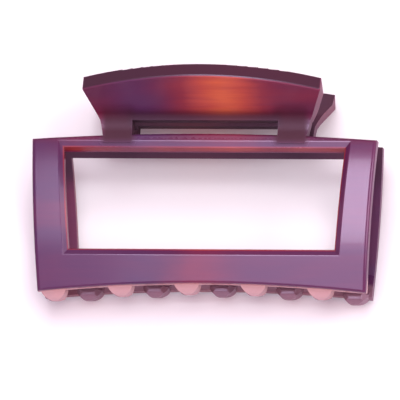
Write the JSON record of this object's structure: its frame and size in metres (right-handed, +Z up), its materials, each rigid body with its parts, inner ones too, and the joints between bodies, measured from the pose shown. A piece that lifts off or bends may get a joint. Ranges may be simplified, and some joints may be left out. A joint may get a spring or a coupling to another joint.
{
  "type": "hair claw clip",
  "caption": "Rectangular open-frame hair claw: two toothed window-frame jaws with squeeze handles, hinged at both necks and sprung closed.",
  "frame": {"origin": "centre of the clip's bounding box at the surface it lies on", "axes": "+X along the clip's long side, +Y toward the handles, +Z up from the back jaw to the front jaw, with the clip lying on its back jaw"},
  "size_m": [0.09, 0.0639, 0.0454],
  "materials": {
    "tortoiseshell_back": "gloss",
    "tortoiseshell_front": "gloss",
    "pin_steel": "bright drawn",
    "spring_steel": "bright drawn"
  },
  "bodies": {
    "back_half": {"back_jaw": "tortoiseshell_back", "right_pin": "pin_steel", "left_pin": "pin_steel", "right_spring": "spring_steel", "left_spring": "spring_steel"},
    "front_half": {"front_jaw": "tortoiseshell_front"}
  },
  "joints": [
    {"name": "jaw_hinge", "type": "hinge", "parent": "back_half", "child": "front_half", "pos_m": [0, 0.01009, 0.01934], "axis": [-1, 0, 0], "range_deg": [0, 42], "stiffness_Nm_per_rad": 0.12, "springref_deg": -40.11, "deforming": ["right_spring", "left_spring"]}
  ]
}
